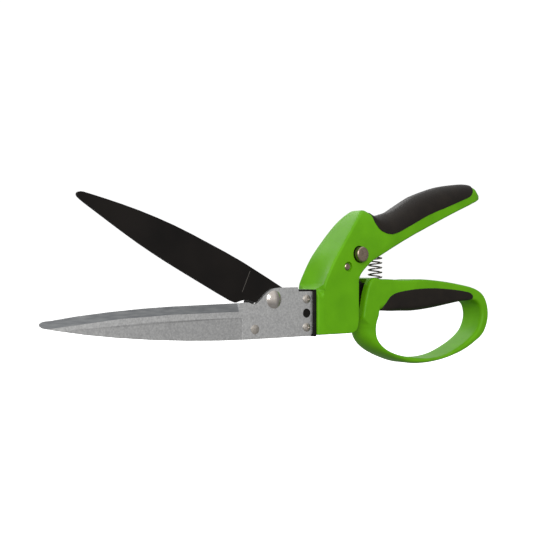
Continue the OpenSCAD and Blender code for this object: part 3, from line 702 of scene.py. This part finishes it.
PIN_PROFILE = [(0.02, -12.5), (1.7, -12.5), (2.25, -12.1), (2.25, 12.2), (1.9, 12.6), (0.02, 12.6)]
pin = revolved("handle_pin_turned", PIN_PROFILE, HANDLE_PIN)
dressed(pin, PIN_PAINTED_REFLECTION, "housing", ["handle_pin"], sharp=30)

# ---- parts that keep their CAD shape, with their edges eased ----

COPIES = [
    ("swivel_core", NYLON, "black_nylon", 0.25),
    ("rear_plate", ZINC, "zinc_steel", 0.15),
    ("pivot_nut", BRIGHT, "bright_steel", 0.3),
    ("wave_washer", SHEET, "bright_steel", 0.1),
    ("lever_plate", SHEET, "bright_steel", 0.2),
    ("lock_pin_clip", SHEET, "bright_steel", 0.1),
    ("handle_pin_clip", SHEET, "bright_steel", 0.1),
    ("drive_yoke", NYLON, "black_nylon", 0.2),
]
for node, material, slot, bevel in COPIES:
    body = frame["nodes"][node]["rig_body"]
    dressed(cad_copy(node, node + "_eased"), material, body, [node], bevel=bevel)

# CAD nodes that keep their own mesh and only get a better finish
PLAIN = {"spring_seat": NYLON, "draw_bar": PIN_PAINTED_REFLECTION, "draw_bar_pin": PIN_PAINTED_REFLECTION, "core_ring": WIRE,
         "swivel_oring": NYLON, "rivet_spacer": PIN_PAINTED_REFLECTION, "drive_pin": PIN_PAINTED_REFLECTION}
for node, material in PLAIN.items():
    for s in frame["nodes"][node].material_slots:
        s.material = material

# ---- floor, light and camera ----

scene = bpy.context.scene
scene.view_settings.view_transform = "Standard"

# The moving blade's tip comes down to about this height once the head has turned half round.
FLOOR_Z = -70
floor_z = ORIGIN[2] + FLOOR_Z * MM
HALF_FLOOR = 3.0
mesh = bpy.data.meshes.new("floor")
corners = [(x * HALF_FLOOR, y * HALF_FLOOR, floor_z) for x, y in ((-1, -1), (1, -1), (1, 1), (-1, 1))]
mesh.from_pydata(corners, [], [(0, 1, 2, 3)])
floor = placed("floor", mesh)
mesh.materials.append(finish("paper_backdrop_white", ("F6F6F6", "FAFAFA"), 60, (0.8, 0.9), 1.5, 0.002,
                             Emission_Color=(1, 1, 1, 1), Emission_Strength=0.45))
floor.visible_diffuse = False
floor.visible_glossy = False

# Seen directly the studio is plain white; what it sheds on the shears is dimmer from the right
# and from below.
world = bpy.data.worlds.new("studio")
scene.world = world
world.use_nodes = True
t = world.node_tree
t.nodes.clear()
ON_THE_RIGHT = (0.97, -0.2, 0.12)
PLAIN_WHITE = 1.05
towards = add(t, "TexCoord").outputs["Generated"]
facing = add(t, "VectorMath", {0: towards, 1: ON_THE_RIGHT}, operation="DOT_PRODUCT")
height = add(t, "SeparateXYZ", {0: towards}).outputs["Z"]
shed = add(t, "MapRange", {"Value": facing.outputs["Value"], "From Min": 0.55, "From Max": 1.05,
                           "To Min": 0.85, "To Max": 0.25}, interpolation_type="SMOOTHSTEP")
raised = add(t, "MapRange", {"Value": height, "From Min": -0.6, "From Max": 0.2,
                             "To Min": 0.35, "To Max": 1.0})
shed = add(t, "Math", {0: shed.outputs[0], 1: raised.outputs[0]}, operation="MULTIPLY")
seen = add(t, "Mix", {0: add(t, "LightPath").outputs["Is Camera Ray"], 2: shed.outputs[0], 3: PLAIN_WHITE})
sky = add(t, "Background", {"Color": (1, 1, 1, 1), "Strength": seen.outputs[0]})
add(t, "OutputWorld", {"Surface": sky.outputs[0]})


def softbox(name, place, size, power):
    """A square area light that faces the middle of the shears: its place and size in metres, and
    its power in watts."""
    light = bpy.data.lights.new(name, "AREA")
    light.size = size
    light.energy = power
    lamp = bpy.data.objects.new(name, light)
    lamp.location = place
    lamp.rotation_euler = Vector(place).to_track_quat("Z", "Y").to_euler()
    scene.collection.objects.link(lamp)


softbox("key", (-0.75, -1.1, 0.45), 0.7, 14)
softbox("left", (-1.1, 0.1, 0.8), 0.9, 0.4)
softbox("top", (0.1, 0.1, 1.2), 1.2, 2.4)
softbox("back", (0.3, 1.1, 0.6), 0.9, 7)

camera = bpy.data.objects.new("camera", bpy.data.cameras.new("camera"))
camera.data.lens = 60.87
camera.data.sensor_width = 36
camera.data.clip_start = 0.01
CAMERA_AT = np.array([-367.6, -448.25, 23.27])
CAMERA_TURN = math.radians(-37.5)
camera.location = (CAMERA_AT * MM + ORIGIN).tolist()
camera.rotation_euler = (math.radians(90), 0, CAMERA_TURN)
scene.collection.objects.link(camera)
scene.camera = camera
